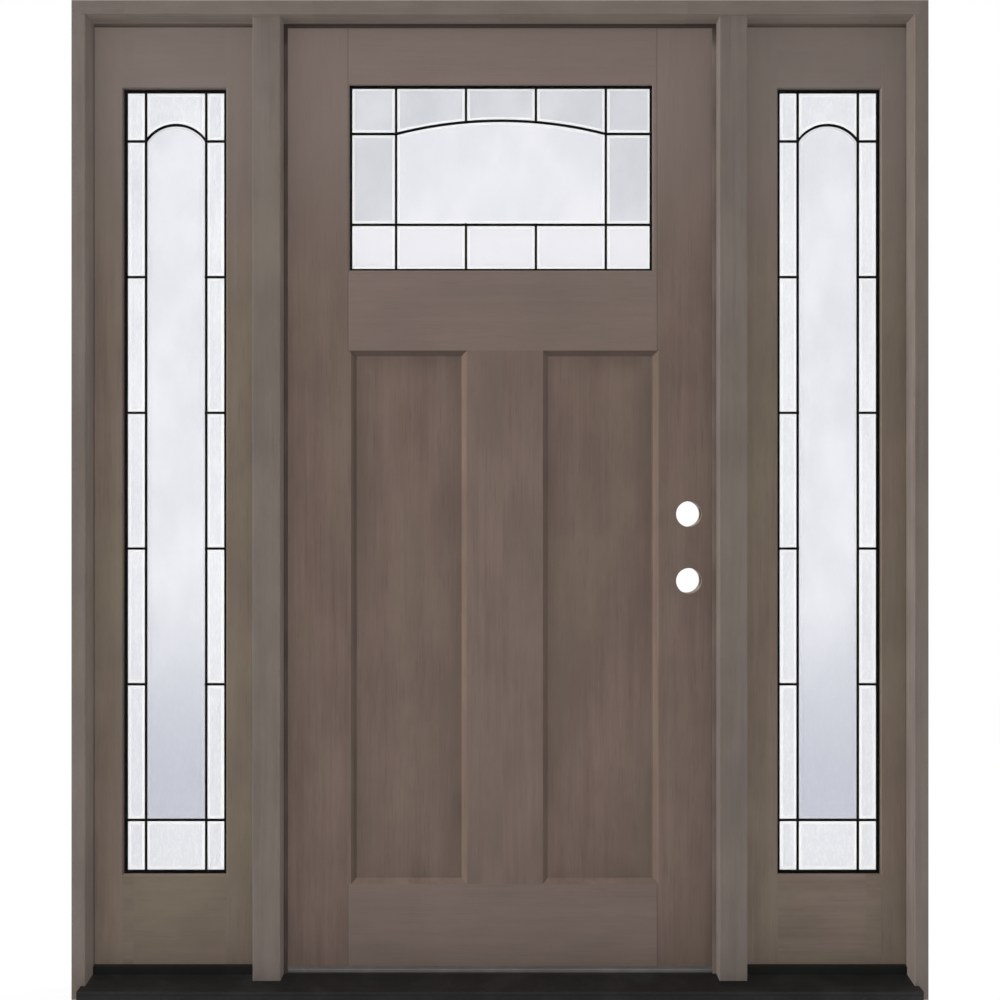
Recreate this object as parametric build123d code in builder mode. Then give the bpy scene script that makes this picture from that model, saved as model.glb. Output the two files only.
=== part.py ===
"""Prehung entry door with two fixed sidelites: a hinged fibreglass leaf in a rabbeted frame."""
import math
import os

from build123d import *

# Driving dimensions, in millimetres and degrees
# Frame
jamb_depth = 116.0
leg_thickness = 19.05
stop_projection = 9.525
post_setback = 15.0
running_gap = 5.0
fit_gap = 2.0
edge_round = 1.5

# Door leaf
slab_width = 914.4
slab_height = 1980.0
slab_thickness = 44.45
skin_thickness = 3.0
stile_width = 38.0
rail_width = 38.0
latch_bevel = 3.0

# Layout of the leaf's face, as widths of the plain bands round the lite and the panels, with the
# distances by which lite and panels sit nearer to the latch edge
lite_stile = 139.2
top_rail = 129.8
door_lite_height = 389.0
lock_rail = 168.2
bottom_rail = 172.0
panel_stile = 134.2
mid_stile = 160.0
lite_shift = 2.0
panel_shift = 10.0

# Recessed panels of the leaf
panel_depth = 11.0
panel_slope = 11.0
tray_spread = 4.0

# Lock and latch bores
bore_diameter = 54.0
bore_backset = 60.3
bore_wall = 12.7
lower_bore_height = 809.0
bore_spacing = 140.5
latch_bore_diameter = 25.4

# Sill
deck_height = 34.0
deck_fall = 5.5
nose_fall = 1.5
sill_nose = 30.0
deck_thickness = 2.5
nose_round = 2.0
nose_groove = 1.6
nose_groove_drop = 6.5
cap_height = 7.0
cap_clearance = 1.0
riser_height = 16.0
riser_lead = 5.5
deck_lead = 1.0

# Sidelites
sidelite_width = 355.6
side_stile = 69.3
side_top_rail = 139.2
side_bottom_rail = 187.9
left_lite_shift = -3.5
right_lite_shift = 11.7

# Seals
strip_thickness = 6.0
strip_projection = 8.0
strip_round = 2.4
gasket_setback = 1.5
gasket_drop = 4.0

# Lites: the border is the dark edge that shows outside the cames
lite_ease = 2.0
door_lite_lip = 12.0
door_lite_border = 1.0
side_lite_recess = 8.0
side_lite_border = 5.0

# Leading, measured in from the edges of each lite; an arch's pitch is its rise over half its span
door_came_inset = 97.0
door_lower_came = 97.6
door_spring_drop = 100.0
door_arch_pitch = 0.1267
side_came_inset = 45.0
side_lower_came = 111.7
side_spring_drop = 108.0
side_arch_pitch = 0.5433
side_bays = 5

# Leaded glass
pane_thickness = 4.0
pane_space = 1.0
came_width = 3.7
came_depth = 8.0
came_flange = 1.2
came_web = 1.2
glass_clearance = 0.3
bevel_width = 7.0
bevel_depth = 2.0

# Hinges
hinge_height = 101.6
hinge_top_margin = 180.0
hinge_bottom_margin = 280.0
hinge_corner = 15.9
leaf_thickness = 2.4
leaf_depth = 32.0
pin_offset = 8.0
barrel_radius = 7.0
pin_radius = 3.5
pin_clearance = 0.3
pin_head = 3.0
knuckles = 5
knuckle_gap = 0.4

# Places worked out from the driving dimensions
front_y = -jamb_depth / 2
back_y = jamb_depth / 2
slab_front = back_y - slab_thickness
seal_gap = strip_thickness + running_gap
stop_back = slab_front - seal_gap
post_front = front_y + post_setback
cap_front = stop_back + strip_thickness + cap_clearance
riser_front = stop_back - riser_lead
deck_break_y = riser_front - deck_lead
nose_y = front_y - sill_nose
core_front = slab_front + skin_thickness
core_back = back_y - skin_thickness

slab_edge = slab_width / 2
door_leg_x = slab_edge + running_gap
door_stop_x = door_leg_x - stop_projection
post_leg_x = door_leg_x + 2 * leg_thickness
post_stop_x = post_leg_x + stop_projection
jamb_leg_x = post_leg_x + sidelite_width + 2 * fit_gap
jamb_stop_x = jamb_leg_x - stop_projection
frame_half = jamb_leg_x + leg_thickness
sidelite_x = (post_leg_x + jamb_leg_x) / 2
bore_x = slab_edge - bore_backset
latch_stile_width = bore_backset + bore_diameter / 2 + bore_wall
hinge_x = -(slab_edge + running_gap / 2)
hinge_y = back_y + pin_offset

deck_front_height = deck_height - deck_fall
nose_height = deck_front_height - nose_fall
cap_top = deck_height + cap_height
slab_bottom = cap_top + running_gap
slab_top = slab_bottom + slab_height
head_leg_z = slab_top + running_gap
head_stop_z = head_leg_z - stop_projection
frame_top = head_leg_z + leg_thickness
riser_top = deck_height + riser_height
side_panel_top = head_leg_z - fit_gap

door_lite_width = slab_width - 2 * lite_stile
door_lite_z = slab_top - top_rail - door_lite_height / 2
panel_width = (slab_width - 2 * panel_stile - mid_stile) / 2
panel_height = slab_height - top_rail - door_lite_height - lock_rail - bottom_rail
side_lite_width = sidelite_width - 2 * side_stile
side_lite_height = side_panel_top - riser_top - side_top_rail - side_bottom_rail
side_lite_z = riser_top + side_bottom_rail + side_lite_height / 2


def facing_out(x, y, z):
    """Plane parallel to the door's face, looking out of the house, with up as its own up."""
    return Plane(origin=(x, y, z), x_dir=(1, 0, 0), z_dir=(0, -1, 0))


def save(builder, label):
    """Label a finished piece and write it."""
    builder.part.label = label
    export_step(builder.part, f"parts/{label}.step")


def box_between(x0, x1, y0, y1, z0, z1, mode=Mode.ADD):
    """Box given by its two corners."""
    centre = ((x0 + x1) / 2, (y0 + y1) / 2, (z0 + z1) / 2)
    with Locations(centre):
        Box(abs(x1 - x0), abs(y1 - y0), abs(z1 - z0), mode=mode)


def sill_outline(inset):
    """Section of the sill, set in from its upper and front sides, as y and z pairs."""
    return [
        (nose_y + inset, nose_height - inset),
        (front_y, deck_front_height - inset),
        (deck_break_y, deck_height - inset),
        (back_y, deck_height - inset),
        (back_y, 0),
        (nose_y + inset, 0),
    ]


def round_front_edges(member):
    """Ease the two long upright edges on the front of a jamb or post."""
    front = member.edges().filter_by(Axis.Z).group_by(Axis.Y)[0]
    fillet(front.sort_by(SortBy.LENGTH)[-2:], radius=edge_round)


def hinge_bases():
    """Heights of the lower ends of the three hinges."""
    low = slab_bottom + hinge_bottom_margin
    high = slab_top - hinge_top_margin - hinge_height
    return [low, (low + high) / 2, high]


def hinge_plate(x, base, mode):
    """Flat part of a hinge leaf, with its two inner corners rounded, or the seat cut for it."""
    with BuildSketch(Plane.YZ.offset(x)) as plate:
        with Locations((back_y - leaf_depth / 2, base + hinge_height / 2)):
            Rectangle(leaf_depth, hinge_height)
        fillet(plate.vertices().group_by(Axis.X)[0], radius=hinge_corner)
    extrude(plate.sketch, amount=leaf_thickness, mode=mode)


os.makedirs("parts", exist_ok=True)

# Side jambs: a leg of full height with a stop that ends at the sill and under the head
for side, name in ((-1, "left_jamb"), (1, "right_jamb")):
    with BuildPart() as jamb:
        box_between(side * jamb_stop_x, side * jamb_leg_x, front_y, stop_back, 0, head_stop_z)
        with BuildSketch(Plane.YZ) as below_deck:
            with BuildLine():
                Polyline(*sill_outline(0), close=True)
            make_face()
        extrude(below_deck.sketch, amount=jamb_leg_x, both=True, mode=Mode.SUBTRACT)
        box_between(side * jamb_leg_x, side * frame_half, front_y, back_y, 0, frame_top)
        round_front_edges(jamb)
    save(jamb, name)

# Head jamb: the same section, lying between the legs of the side jambs
with BuildPart() as head:
    box_between(-jamb_leg_x, jamb_leg_x, front_y, back_y, head_leg_z, frame_top)
    box_between(-jamb_leg_x, jamb_leg_x, front_y, stop_back, head_stop_z, head_leg_z)
    lower_edge = head.edges().filter_by(Axis.X).group_by(Axis.Y)[0].sort_by(Axis.Z)[0]
    fillet(lower_edge, radius=edge_round)
save(head, "head_jamb")

# Mullion posts: a stop toward each side of one shared leg, cut square to stand on the level part of
# the deck, with seats for the hinges in the left one
for side, name in ((-1, "left_mullion_post"), (1, "right_mullion_post")):
    with BuildPart() as post:
        box_between(side * door_stop_x, side * post_stop_x, post_front, stop_back, deck_height, head_stop_z)
        box_between(side * door_leg_x, side * post_leg_x, stop_back, back_y, deck_height, head_leg_z)
        round_front_edges(post)
        if side < 0:
            for base in hinge_bases():
                hinge_plate(-door_leg_x - leaf_thickness, base, Mode.SUBTRACT)
    save(post, name)

# Sill deck: a bent cover over the base, with a groove along its nose
with BuildPart() as deck:
    with BuildSketch(Plane.YZ) as deck_section:
        with BuildLine():
            Polyline(*sill_outline(0), close=True)
        make_face()
        nose_corner = deck_section.vertices().sort_by(Axis.X)[:2].sort_by(Axis.Y)[-1]
        fillet(nose_corner, radius=nose_round)
        with BuildLine():
            Polyline(*sill_outline(deck_thickness), close=True)
        make_face(mode=Mode.SUBTRACT)
        with Locations((nose_y, nose_height - nose_groove_drop)):
            Rectangle(nose_groove, nose_groove, mode=Mode.SUBTRACT)
    extrude(amount=jamb_leg_x, both=True)
save(deck, "sill_deck")

# Sill base: the solid core that fills the deck from below
with BuildPart() as base:
    with BuildSketch(Plane.YZ):
        with BuildLine():
            Polyline(*sill_outline(deck_thickness), close=True)
        make_face()
    extrude(amount=jamb_leg_x, both=True)
save(base, "sill_base")

# Threshold cap under the leaf
with BuildPart() as cap:
    box_between(-door_leg_x, door_leg_x, cap_front, back_y, deck_height, cap_top)
    front_edge = cap.edges().filter_by(Axis.X).group_by(Axis.Z)[-1].sort_by(Axis.Y)[0]
    fillet(front_edge, radius=nose_round)
save(cap, "threshold_cap")

# Risers that carry the sidelite panels
for side, name in ((-1, "left_sill_riser"), (1, "right_sill_riser")):
    with BuildPart() as riser:
        box_between(side * post_stop_x, side * jamb_stop_x, riser_front, stop_back, deck_height, riser_top)
        box_between(side * post_leg_x, side * jamb_leg_x, stop_back, back_y, deck_height, riser_top)
    save(riser, name)

# Weatherstrip on the stops round the doorway, with a rounded inner edge
with BuildPart() as weatherstrip:
    inner_x = door_stop_x - strip_projection
    inner_top = head_stop_z - strip_projection
    with BuildSketch(facing_out(0, stop_back, 0)):
        with Locations((0, (deck_height + head_leg_z) / 2)):
            Rectangle(2 * door_leg_x, head_leg_z - deck_height)
        with Locations((0, inner_top / 2)):
            Rectangle(2 * inner_x, inner_top, mode=Mode.SUBTRACT)
    extrude(amount=-strip_thickness)
    across = weatherstrip.edges().filter_by(Axis.X).filter_by_position(Axis.Z, inner_top - 1, inner_top + 1)
    upright = weatherstrip.edges().filter_by(Axis.Z).filter_by_position(Axis.X, -inner_x - 1, inner_x + 1)
    fillet(across + upright, radius=strip_round)
save(weatherstrip, "door_weatherstrip")

# Gaskets between the stops and the sidelite panels, which show only below the head
for side, name in ((-1, "left_sidelite_gasket"), (1, "right_sidelite_gasket")):
    with BuildPart() as gasket:
        with BuildSketch(facing_out(side * sidelite_x, stop_back, riser_top)):
            opening_height = head_stop_z - gasket_drop - riser_top
            with Locations((0, (head_leg_z - riser_top) / 2)):
                Rectangle(jamb_leg_x - post_leg_x, head_leg_z - riser_top)
            with Locations((0, opening_height / 2)):
                Rectangle(jamb_stop_x - post_stop_x + 2 * gasket_setback, opening_height,
                          mode=Mode.SUBTRACT)
        extrude(amount=-seal_gap)
    save(gasket, name)

# Sidelite panels: two stiles of full height and two rails between them, eased all round the lite
sidelites = ((-1, "left_sidelite", left_lite_shift), (1, "right_sidelite", right_lite_shift))
for side, prefix, shift in sidelites:
    panel_x = side * sidelite_x
    lite_left = panel_x + shift - side_lite_width / 2
    lite_right = panel_x + shift + side_lite_width / 2
    with BuildPart() as panel:
        box_between(panel_x - sidelite_width / 2, panel_x + sidelite_width / 2, slab_front, back_y,
                    riser_top, side_panel_top)
        with BuildSketch(facing_out(panel_x + shift, slab_front, side_lite_z)):
            Rectangle(side_lite_width, side_lite_height)
        extrude(amount=-slab_thickness, mode=Mode.SUBTRACT)
        for face in (panel.faces().sort_by(Axis.Y)[0], panel.faces().sort_by(Axis.Y)[-1]):
            chamfer(face.inner_wires()[0].edges(), length=lite_ease)
    for name, mode in (("stiles", Mode.SUBTRACT), ("rails", Mode.INTERSECT)):
        with BuildPart() as members:
            add(panel.part)
            box_between(lite_left, lite_right, slab_front, back_y, riser_top, side_panel_top, mode)
        save(members, f"{prefix}_{name}")


def bevel_latch_edge():
    """Take the latch edge back toward the outside, so that it clears the frame as it swings."""
    set_back = slab_thickness * math.tan(math.radians(latch_bevel))
    with BuildSketch(Plane.XY.offset(slab_bottom)) as wedge:
        with BuildLine():
            Polyline((slab_edge, back_y), (slab_edge, slab_front), (slab_edge - set_back, slab_front),
                     close=True)
        make_face()
    extrude(wedge.sketch, amount=slab_height, mode=Mode.SUBTRACT)


def bore_heights():
    """Heights of the handle bore and of the deadbolt bore above it."""
    low = slab_bottom + lower_bore_height
    return [low, low + bore_spacing]


def bore_locks():
    """Cut both lock bores through the piece."""
    for height in bore_heights():
        with Locations(facing_out(bore_x, slab_front, height)):
            Cylinder(bore_diameter / 2, 2 * slab_thickness, mode=Mode.SUBTRACT)


def bore_latches():
    """Cut the bores for the latch bolts from the latch edge into the lock bores."""
    for height in bore_heights():
        centre = (slab_edge, (slab_front + back_y) / 2, height)
        with Locations(Plane(origin=centre, x_dir=(0, 1, 0), z_dir=(-1, 0, 0))):
            Cylinder(latch_bore_diameter / 2, 2 * bore_backset, mode=Mode.SUBTRACT)


def seat_door_leaves():
    """Cut the seats of the three hinge leaves into the hinge edge."""
    for base in hinge_bases():
        hinge_plate(-slab_edge, base, Mode.SUBTRACT)


def panel_tray(face_y, inward, spread, depth, mode):
    """Sloped tray of both recessed panels, spread past their outline and sunk from the face."""
    run = depth * panel_slope / panel_depth
    width = panel_width + 2 * spread
    height = panel_height + 2 * spread
    centre_z = slab_bottom + bottom_rail + panel_height / 2
    for side in (-1, 1):
        centre_x = panel_shift + side * (mid_stile + panel_width) / 2
        with BuildSketch(facing_out(centre_x, face_y, centre_z)) as rim:
            Rectangle(width, height)
        with BuildSketch(facing_out(centre_x, face_y + inward * depth, centre_z)) as floor:
            Rectangle(width - 2 * run, height - 2 * run)
        loft([rim.sketch, floor.sketch], mode=mode)


# Door skins: thin moulded faces with an eased lite opening and two recessed panels
for face_y, inward, name in ((slab_front, 1, "door_exterior_skin"), (back_y, -1, "door_interior_skin")):
    with BuildPart() as skin:
        box_between(-slab_edge, slab_edge, face_y, face_y + inward * skin_thickness, slab_bottom, slab_top)
        with Locations((lite_shift, face_y, door_lite_z)):
            Box(door_lite_width, 4 * skin_thickness, door_lite_height, mode=Mode.SUBTRACT)
        shown_face = skin.faces().sort_by(Axis.Y)[0 if inward > 0 else -1]
        chamfer(shown_face.inner_wires()[0].edges(), length=lite_ease)
        panel_tray(face_y, inward, tray_spread, panel_depth + skin_thickness, Mode.ADD)
        panel_tray(face_y, inward, 0, panel_depth, Mode.SUBTRACT)
        bore_locks()
        bevel_latch_edge()
        seat_door_leaves()
    save(skin, name)

# Stiles and rails between the skins
with BuildPart() as hinge_stile:
    box_between(-slab_edge, -slab_edge + stile_width, core_front, core_back, slab_bottom, slab_top)
    seat_door_leaves()
save(hinge_stile, "hinge_stile")

with BuildPart() as latch_stile:
    box_between(slab_edge - latch_stile_width, slab_edge, core_front, core_back, slab_bottom, slab_top)
    bore_locks()
    bore_latches()
    bevel_latch_edge()
save(latch_stile, "latch_stile")

core_left = -slab_edge + stile_width
core_right = slab_edge - latch_stile_width
for name, low in (("door_top_rail", slab_top - rail_width), ("door_bottom_rail", slab_bottom)):
    with BuildPart() as rail:
        box_between(core_left, core_right, core_front, core_back, low, low + rail_width)
    save(rail, name)

# Foam core: fills the leaf between the stiles, the rails and the skins, and leaves room for the lite
with BuildPart() as core:
    box_between(core_left, core_right, core_front, core_back, slab_bottom + rail_width, slab_top - rail_width)
    panel_tray(slab_front, 1, tray_spread, panel_depth + skin_thickness, Mode.SUBTRACT)
    panel_tray(back_y, -1, tray_spread, panel_depth + skin_thickness, Mode.SUBTRACT)
    with Locations((lite_shift, (core_front + core_back) / 2, door_lite_z)):
        Box(door_lite_width + 2 * door_lite_lip, slab_thickness, door_lite_height + 2 * door_lite_lip,
            mode=Mode.SUBTRACT)
save(core, "door_core")


class Leading:
    """Layout of one leaded panel about its middle: two came columns, cross bars and an arched bar."""

    def __init__(self, lite_width, lite_height, border, inset, lower, drop, pitch, bays, thirds):
        self.width = lite_width - 2 * border
        self.height = lite_height - 2 * border
        self.column = lite_width / 2 - inset
        self.lower = lower - lite_height / 2
        self.spring = lite_height / 2 - drop
        self.bays = bays
        self.thirds = thirds
        rise = self.column * pitch
        self.radius = (self.column ** 2 + rise ** 2) / (2 * rise)
        self.centre = self.spring + rise - self.radius

    def arch_height(self, x, offset):
        """Height at x of a line that runs along the arched bar, offset outward from its middle."""
        return self.centre + math.sqrt((self.radius + offset) ** 2 - x ** 2)

    def draw_arch(self, thickness, mode):
        """Draw the arched bar between the two columns in the open sketch."""
        with BuildLine() as band:
            for offset in (thickness / 2, -thickness / 2):
                foot = self.arch_height(self.column, offset)
                ThreePointArc((-self.column, foot), (0, self.arch_height(0, offset)), (self.column, foot))
            for side in (-1, 1):
                Line((side * self.column, self.arch_height(self.column, thickness / 2)),
                     (side * self.column, self.arch_height(self.column, -thickness / 2)))
        make_face(band.edges(), mode=mode)

    def draw_bars(self, thickness, mode):
        """Draw every bar of the layout in the open sketch."""
        half_height = self.height / 2
        side_width = self.width / 2 - self.column
        for side in (-1, 1):
            with Locations((side * self.column, 0)):
                Rectangle(thickness, self.height, mode=mode)
            for bay in range(1, self.bays + 1):
                level = self.lower + (self.spring - self.lower) * bay / self.bays
                with Locations((side * (self.column + side_width / 2), level)):
                    Rectangle(side_width, thickness, mode=mode)
            if self.thirds:
                short = self.column / 3
                crown = self.arch_height(short, 0)
                with Locations((side * short, (crown + half_height) / 2)):
                    Rectangle(thickness, half_height - crown, mode=mode)
                with Locations((side * short, (self.lower - half_height) / 2)):
                    Rectangle(thickness, self.lower + half_height, mode=mode)
        with Locations((0, self.lower)):
            Rectangle(self.width, thickness, mode=mode)
        self.draw_arch(thickness, mode)


def draw_border(width, height, inset):
    """Draw a rectangular ring of the given size and band width in the open sketch."""
    Rectangle(width, height)
    Rectangle(width - 2 * inset, height - 2 * inset, mode=Mode.SUBTRACT)


def leaded_lite(prefix, x, z, width, height, lip, border, front, back, layout):
    """Two panes with a spacer between them, and the leaded panel held inside the spacer."""
    clear_front = front + pane_thickness
    clear_back = back - pane_thickness
    for name, pane_front in (("outer_pane", front), ("inner_pane", clear_back)):
        with BuildPart() as pane:
            box_between(x - width / 2 - lip, x + width / 2 + lip, pane_front, pane_front + pane_thickness,
                        z - height / 2 - lip, z + height / 2 + lip)
        save(pane, f"{prefix}_{name}")
    with BuildPart() as spacer:
        with BuildSketch(facing_out(x, clear_back, z)) as ring:
            draw_border(width + 2 * lip, height + 2 * lip, lip + border)
        extrude(ring.sketch, amount=clear_back - clear_front)
    save(spacer, f"{prefix}_spacer")

    # The cames are H-shaped: a web between two wider flanges
    came_front = clear_front + pane_space
    came_back = came_front + came_depth
    with BuildPart() as cames:
        with BuildSketch(facing_out(x, came_back, z)) as webs:
            draw_border(layout.width, layout.height, came_web)
            layout.draw_bars(came_web, Mode.ADD)
        extrude(webs.sketch, amount=came_depth)
        for start in (came_back, came_front + came_flange):
            with BuildSketch(facing_out(x, start, z)) as flanges:
                draw_border(layout.width, layout.height, came_width / 2)
                layout.draw_bars(came_width, Mode.ADD)
            extrude(flanges.sketch, amount=came_flange)
    save(cames, f"{prefix}_cames")

    # The pieces of glass fill the cells between the webs and are bevelled on the outside
    glass_back = came_back - came_flange - glass_clearance
    glass_thickness = came_depth - 2 * came_flange - 2 * glass_clearance
    edge_thickness = glass_thickness - bevel_depth
    bevel_angle = math.degrees(math.atan2(bevel_width, bevel_depth))
    web_room = came_web + 2 * glass_clearance
    with BuildSketch() as cells:
        Rectangle(layout.width - 2 * came_web - 2 * glass_clearance,
                  layout.height - 2 * came_web - 2 * glass_clearance)
        layout.draw_bars(web_room, Mode.SUBTRACT)
    faces = cells.sketch.faces().sort_by(SortBy.AREA)
    for group, suffix in ((faces[:-1], "border_glass"), (faces[-1:], "centre_glass")):
        with BuildPart() as glass:
            back_plane = facing_out(x, glass_back, z)
            bevel_plane = facing_out(x, glass_back - edge_thickness, z)
            extrude([back_plane * cell for cell in group], amount=edge_thickness)
            extrude([bevel_plane * cell for cell in group], amount=bevel_depth, taper=bevel_angle)
        save(glass, f"{prefix}_{suffix}")


door_layout = Leading(door_lite_width, door_lite_height, door_lite_border, door_came_inset,
                      door_lower_came, door_spring_drop, door_arch_pitch, bays=1, thirds=True)
leaded_lite("door", lite_shift, door_lite_z, door_lite_width, door_lite_height, door_lite_lip,
            door_lite_border, core_front, core_back, door_layout)

side_layout = Leading(side_lite_width, side_lite_height, side_lite_border, side_came_inset,
                      side_lower_came, side_spring_drop, side_arch_pitch, bays=side_bays, thirds=False)
for side, prefix, shift in sidelites:
    leaded_lite(prefix, side * sidelite_x + shift, side_lite_z, side_lite_width, side_lite_height, 0,
                side_lite_border, slab_front + side_lite_recess, back_y - side_lite_recess, side_layout)

# Butt hinges: the frame leaves carry the pins, the door leaves turn on them
knuckle_length = hinge_height / knuckles
for name, plate_x, first in (("frame_hinge_leaves", -door_leg_x - leaf_thickness, 0),
                             ("door_hinge_leaves", -slab_edge, 1)):
    with BuildPart() as leaves:
        for base in hinge_bases():
            middle = (hinge_x, hinge_y, base + hinge_height / 2)
            hinge_plate(plate_x, base, Mode.ADD)
            for index in range(first, knuckles, 2):
                clearance = knuckle_gap * first
                low = base + index * knuckle_length + clearance
                high = base + (index + 1) * knuckle_length - clearance
                box_between(plate_x, plate_x + leaf_thickness, back_y, hinge_y, low, high)
                with Locations((hinge_x, hinge_y, (low + high) / 2)):
                    Cylinder(barrel_radius, high - low)
            if first:
                with Locations(middle):
                    Cylinder(pin_radius + pin_clearance, hinge_height, mode=Mode.SUBTRACT)
            else:
                with Locations(middle):
                    Cylinder(pin_radius, hinge_height)
                with Locations((hinge_x, hinge_y, base + hinge_height + pin_head / 2)):
                    Cylinder((barrel_radius + pin_radius) / 2, pin_head)
    save(leaves, name)
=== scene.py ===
# %% [markdown]
# # A front door with two leaded sidelites
# The CAD model of this unit already gives every piece its size and its place: a swinging leaf, a
# rabbeted frame, two fixed sidelites, a black sill and the leaded glass. This lesson gives those
# pieces their finishes and adds the small things that repeat, such as screws and solder joints.
# The first cell loads the CAD pieces. They stay where they are, because a door that is moved by eye
# no longer closes.

import math

import bpy
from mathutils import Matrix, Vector


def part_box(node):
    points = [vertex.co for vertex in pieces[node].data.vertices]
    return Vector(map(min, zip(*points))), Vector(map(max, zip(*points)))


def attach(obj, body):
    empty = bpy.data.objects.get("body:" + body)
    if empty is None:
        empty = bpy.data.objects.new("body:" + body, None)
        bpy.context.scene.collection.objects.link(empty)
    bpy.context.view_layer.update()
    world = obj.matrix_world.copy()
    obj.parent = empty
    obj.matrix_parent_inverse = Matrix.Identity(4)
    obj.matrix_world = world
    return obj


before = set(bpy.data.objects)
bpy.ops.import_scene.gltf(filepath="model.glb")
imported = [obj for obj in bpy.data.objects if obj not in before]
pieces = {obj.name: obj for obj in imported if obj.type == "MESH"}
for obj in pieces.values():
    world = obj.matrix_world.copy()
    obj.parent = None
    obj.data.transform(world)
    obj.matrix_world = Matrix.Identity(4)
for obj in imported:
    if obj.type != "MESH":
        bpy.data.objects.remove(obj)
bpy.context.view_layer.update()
scene = bpy.context.scene
scene.view_settings.view_transform = "Standard"

# %% [markdown]
# ## The camera
# A product picture of a door is taken square on, from half the door's height, so that the jambs stay
# upright. A camera that looks level along +Y does that. Its distance comes from how much wider the
# front of the frame looks than the leaf behind it, and the lens then follows from the width that has
# to fit in the picture.

# %% Camera square to the door
camera_distance = 2.907
camera_height = 1.025
picture_width = 2.05
sensor = 36.0
jamb_front = -0.058

photo_camera = bpy.data.objects.new("photo_camera", bpy.data.cameras.new("photo_camera"))
photo_camera.data.sensor_width = sensor
photo_camera.data.lens = sensor * camera_distance / picture_width
photo_camera.location = (0.0, jamb_front - camera_distance, camera_height)
photo_camera.rotation_euler = (math.radians(90), 0.0, 0.0)
scene.collection.objects.link(photo_camera)
scene.camera = photo_camera
print("lens", round(photo_camera.data.lens, 2), "mm")

# %% [markdown]
# ## Short calls for node trees
# Every finish here is a small node tree. Writing each node with its settings and links takes four or
# five lines, which hides what the finish does. A little wrapper keeps a tree readable: a value that is
# a socket gets linked, and any other value is typed into the socket.

# %% Node tree helper
class Graph:
    """A node tree with short calls for the nodes that these finishes use."""

    def __init__(self, tree):
        self.tree = tree

    def add(self, kind, inputs=None, **settings):
        """Add a node, set its properties and fill its inputs by name or number."""
        made = self.tree.nodes.new(kind)
        for name, value in settings.items():
            setattr(made, name, value)
        for key, value in (inputs or {}).items():
            if isinstance(value, bpy.types.NodeSocket):
                self.tree.links.new(value, made.inputs[key])
            else:
                made.inputs[key].default_value = value
        return made

    def math(self, operation, first, second=0.0):
        """Combine two numbers."""
        return self.add("ShaderNodeMath", {0: first, 1: second}, operation=operation).outputs[0]

    def stretch(self, vector, factors):
        """Multiply a place by three factors; a noise on it is drawn out where the factor is small."""
        return self.add("ShaderNodeVectorMath", {0: vector, 1: factors}, operation="MULTIPLY").outputs[0]

    def noise(self, vector, scale=1.0, detail=3.0, rough=0.5, w=0.0, twist=0.0):
        """Noise from 0 to 1; another w gives another pattern."""
        made = self.add("ShaderNodeTexNoise", {"Vector": vector, "W": w, "Scale": scale, "Detail": detail,
                                               "Roughness": rough, "Distortion": twist},
                        noise_dimensions="4D")
        return made.outputs[0]

    def ramp(self, value, low, high, start=0.0, end=1.0):
        """Map low..high smoothly to start..end."""
        made = self.add("ShaderNodeMapRange", {"Value": value, "From Min": low, "From Max": high,
                                               "To Min": start, "To Max": end},
                        interpolation_type="SMOOTHSTEP")
        return made.outputs[0]

    def blend(self, factor, first, second, mode="MIX"):
        """Blend two colours."""
        made = self.add("ShaderNodeMix", {0: factor, 6: first, 7: second}, data_type="RGBA", blend_type=mode)
        return made.outputs[2]


def colour(red, green, blue):
    """Linear colour from the 0 to 255 values that a picture shows."""
    linear = []
    for value in (red, green, blue):
        share = value / 255
        linear.append(share / 12.92 if share <= 0.04045 else ((share + 0.055) / 1.055) ** 2.4)
    return (*linear, 1.0)


def shader_group(name, inputs, outputs):
    """Empty shader node group with the named sockets, as a graph with its two ends."""
    kinds = {"float": "NodeSocketFloat", "vector": "NodeSocketVector", "colour": "NodeSocketColor"}
    tree = bpy.data.node_groups.new(name, "ShaderNodeTree")
    for label, kind in inputs:
        tree.interface.new_socket(label, in_out="INPUT", socket_type=kinds[kind])
    for label, kind in outputs:
        tree.interface.new_socket(label, in_out="OUTPUT", socket_type=kinds[kind])
    graph = Graph(tree)
    return graph, graph.add("NodeGroupInput").outputs, graph.add("NodeGroupOutput").inputs


print("helpers ready")

# %% [markdown]
# ## Studio
# The unit stands on a pale floor in a white studio. Two things are kept apart: what lights the object
# and what the eye sees behind it. The world is a soft grey for light, and plain white for rays from
# the camera, for reflections and for rays through the glass.

# %% World
world = bpy.data.worlds.new("white_studio")
world.use_nodes = True
scene.world = world
world.node_tree.nodes.clear()
sky = Graph(world.node_tree)
ray = sky.add("ShaderNodeLightPath").outputs
seen = sky.math("MAXIMUM", sky.math("MAXIMUM", ray["Is Camera Ray"], ray["Is Glossy Ray"]),
                ray["Is Transmission Ray"])
ambient_level = 0.34
plain_white = (1.0, 1.0, 1.0, 1.0)
ambient = sky.add("ShaderNodeBackground", {"Color": plain_white, "Strength": ambient_level})
white = sky.add("ShaderNodeBackground", {"Color": plain_white, "Strength": 1.0})
both = sky.add("ShaderNodeMixShader", {0: seen, 1: ambient.outputs[0], 2: white.outputs[0]})
sky.add("ShaderNodeOutputWorld", {"Surface": both.outputs[0]})
print("ambient level", ambient_level)

# %% [markdown]
# The floor is pale paint, which catches the soft shadow at the door's foot. For the camera it also glows
# a little, and more so farther away, so that it runs into the white backdrop without a horizon.

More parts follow.
